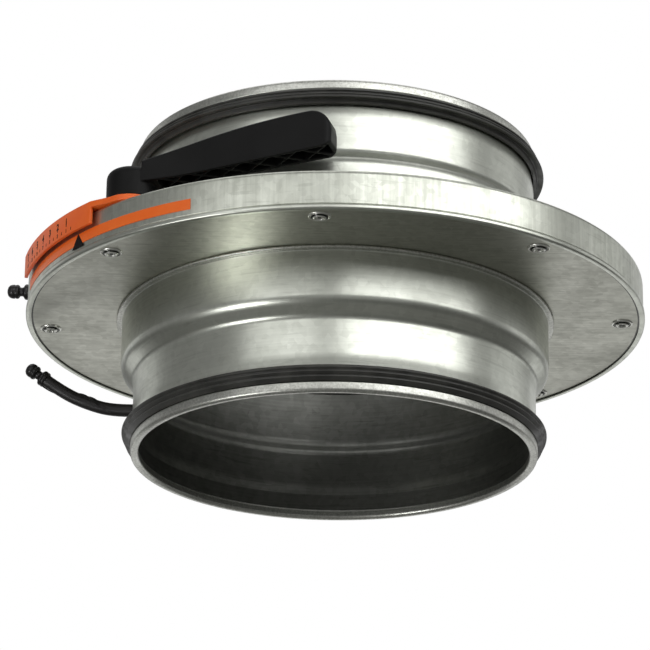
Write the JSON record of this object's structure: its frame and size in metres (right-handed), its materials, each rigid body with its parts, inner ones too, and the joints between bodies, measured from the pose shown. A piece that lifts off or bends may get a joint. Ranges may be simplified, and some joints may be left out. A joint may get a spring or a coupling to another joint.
{
  "type": "iris damper",
  "caption": "Round iris damper for a duct: flat casing with two spigots, overlapping blades, a turning scale with handle, and capped measuring hoses.",
  "frame": {"origin": "centre of the lower spigot's mouth, on the duct axis", "axes": "+Z along the duct axis from the lower spigot to the upper one, -Y towards the side where the handle lies"},
  "size_m": [0.3211, 0.307, 0.159],
  "materials": {
    "galvanised_steel": "rolled galvanised sheet, satin",
    "blade_steel": "rolled galvanised sheet, satin",
    "zinc_plated_steel": "bright zinc plate",
    "gasket_rubber": "matt EPDM",
    "hose_rubber": "smooth black rubber",
    "cap_plastic": "moulded, satin",
    "handle_plastic": "moulded, satin",
    "scale_plastic": "moulded, satin",
    "label_film": "printed film",
    "label_ink": "printed ink",
    "nipple_brass": "turned"
  },
  "bodies": {
    "casing": {"index_label": "label_film", "index_pointer": "label_ink", "lower_cap": "cap_plastic", "lower_gasket": "gasket_rubber", "lower_hose": "hose_rubber", "lower_nipple": "nipple_brass", "lower_nipple_nut": "nipple_brass", "lower_plate": "galvanised_steel", "lower_spigot": "galvanised_steel", "pivot_rivets": "zinc_plated_steel", "ring_guides": "zinc_plated_steel", "upper_cap": "cap_plastic", "upper_casing": "galvanised_steel", "upper_gasket": "gasket_rubber", "upper_hose": "hose_rubber", "upper_nipple": "nipple_brass", "upper_nipple_nut": "nipple_brass", "upper_spigot": "galvanised_steel"},
    "control": {"drive_ring": "blade_steel", "scale_bracket": "scale_plastic", "scale_rivet": "zinc_plated_steel", "handle": "handle_plastic", "handle_screw": "zinc_plated_steel", "handle_nut": "zinc_plated_steel", "spacers": "zinc_plated_steel"},
    "iris_blade_1": {"blade_1": "blade_steel", "drive_pin_1": "zinc_plated_steel"},
    "iris_blade_2": {"blade_2": "blade_steel", "drive_pin_2": "zinc_plated_steel"},
    "iris_blade_3": {"blade_3": "blade_steel", "drive_pin_3": "zinc_plated_steel"},
    "iris_blade_4": {"blade_4": "blade_steel", "drive_pin_4": "zinc_plated_steel"},
    "iris_blade_5": {"blade_5": "blade_steel", "drive_pin_5": "zinc_plated_steel"},
    "iris_blade_6": {"blade_6": "blade_steel", "drive_pin_6": "zinc_plated_steel"},
    "iris_blade_7": {"blade_7": "blade_steel", "drive_pin_7": "zinc_plated_steel"},
    "iris_blade_8": {"blade_8": "blade_steel", "drive_pin_8": "zinc_plated_steel"}
  },
  "joints": [
    {"name": "ring_turn", "type": "hinge", "parent": "casing", "child": "control", "pos_m": [0, 0, 0.0865], "axis": [0, 0, 1], "range_deg": [0, 24]},
    {"name": "blade_turn_1", "type": "hinge", "parent": "casing", "child": "iris_blade_1", "pos_m": [0.14206, -0.00819, 0.073], "axis": [0, 0, 1], "range_deg": [-27.6, 0]},
    {"name": "blade_turn_2", "type": "hinge", "parent": "casing", "child": "iris_blade_2", "pos_m": [0.10625, 0.09466, 0.073], "axis": [0, 0, 1], "range_deg": [-27.6, 0]},
    {"name": "blade_turn_3", "type": "hinge", "parent": "casing", "child": "iris_blade_3", "pos_m": [0.00819, 0.14206, 0.073], "axis": [0, 0, 1], "range_deg": [-27.6, 0]},
    {"name": "blade_turn_4", "type": "hinge", "parent": "casing", "child": "iris_blade_4", "pos_m": [-0.09466, 0.10625, 0.073], "axis": [0, 0, 1], "range_deg": [-27.6, 0]},
    {"name": "blade_turn_5", "type": "hinge", "parent": "casing", "child": "iris_blade_5", "pos_m": [-0.14206, 0.00819, 0.073], "axis": [0, 0, 1], "range_deg": [-27.6, 0]},
    {"name": "blade_turn_6", "type": "hinge", "parent": "casing", "child": "iris_blade_6", "pos_m": [-0.10625, -0.09466, 0.073], "axis": [0, 0, 1], "range_deg": [-27.6, 0]},
    {"name": "blade_turn_7", "type": "hinge", "parent": "casing", "child": "iris_blade_7", "pos_m": [-0.00819, -0.14206, 0.073], "axis": [0, 0, 1], "range_deg": [-27.6, 0]},
    {"name": "blade_turn_8", "type": "hinge", "parent": "casing", "child": "iris_blade_8", "pos_m": [0.09466, -0.10625, 0.073], "axis": [0, 0, 1], "range_deg": [-27.6, 0]}
  ],
  "couplings": [
    {"joint": "blade_turn_1", "follows": "ring_turn", "ratio": -1.15},
    {"joint": "blade_turn_2", "follows": "ring_turn", "ratio": -1.15},
    {"joint": "blade_turn_3", "follows": "ring_turn", "ratio": -1.15},
    {"joint": "blade_turn_4", "follows": "ring_turn", "ratio": -1.15},
    {"joint": "blade_turn_5", "follows": "ring_turn", "ratio": -1.15},
    {"joint": "blade_turn_6", "follows": "ring_turn", "ratio": -1.15},
    {"joint": "blade_turn_7", "follows": "ring_turn", "ratio": -1.15},
    {"joint": "blade_turn_8", "follows": "ring_turn", "ratio": -1.15}
  ]
}
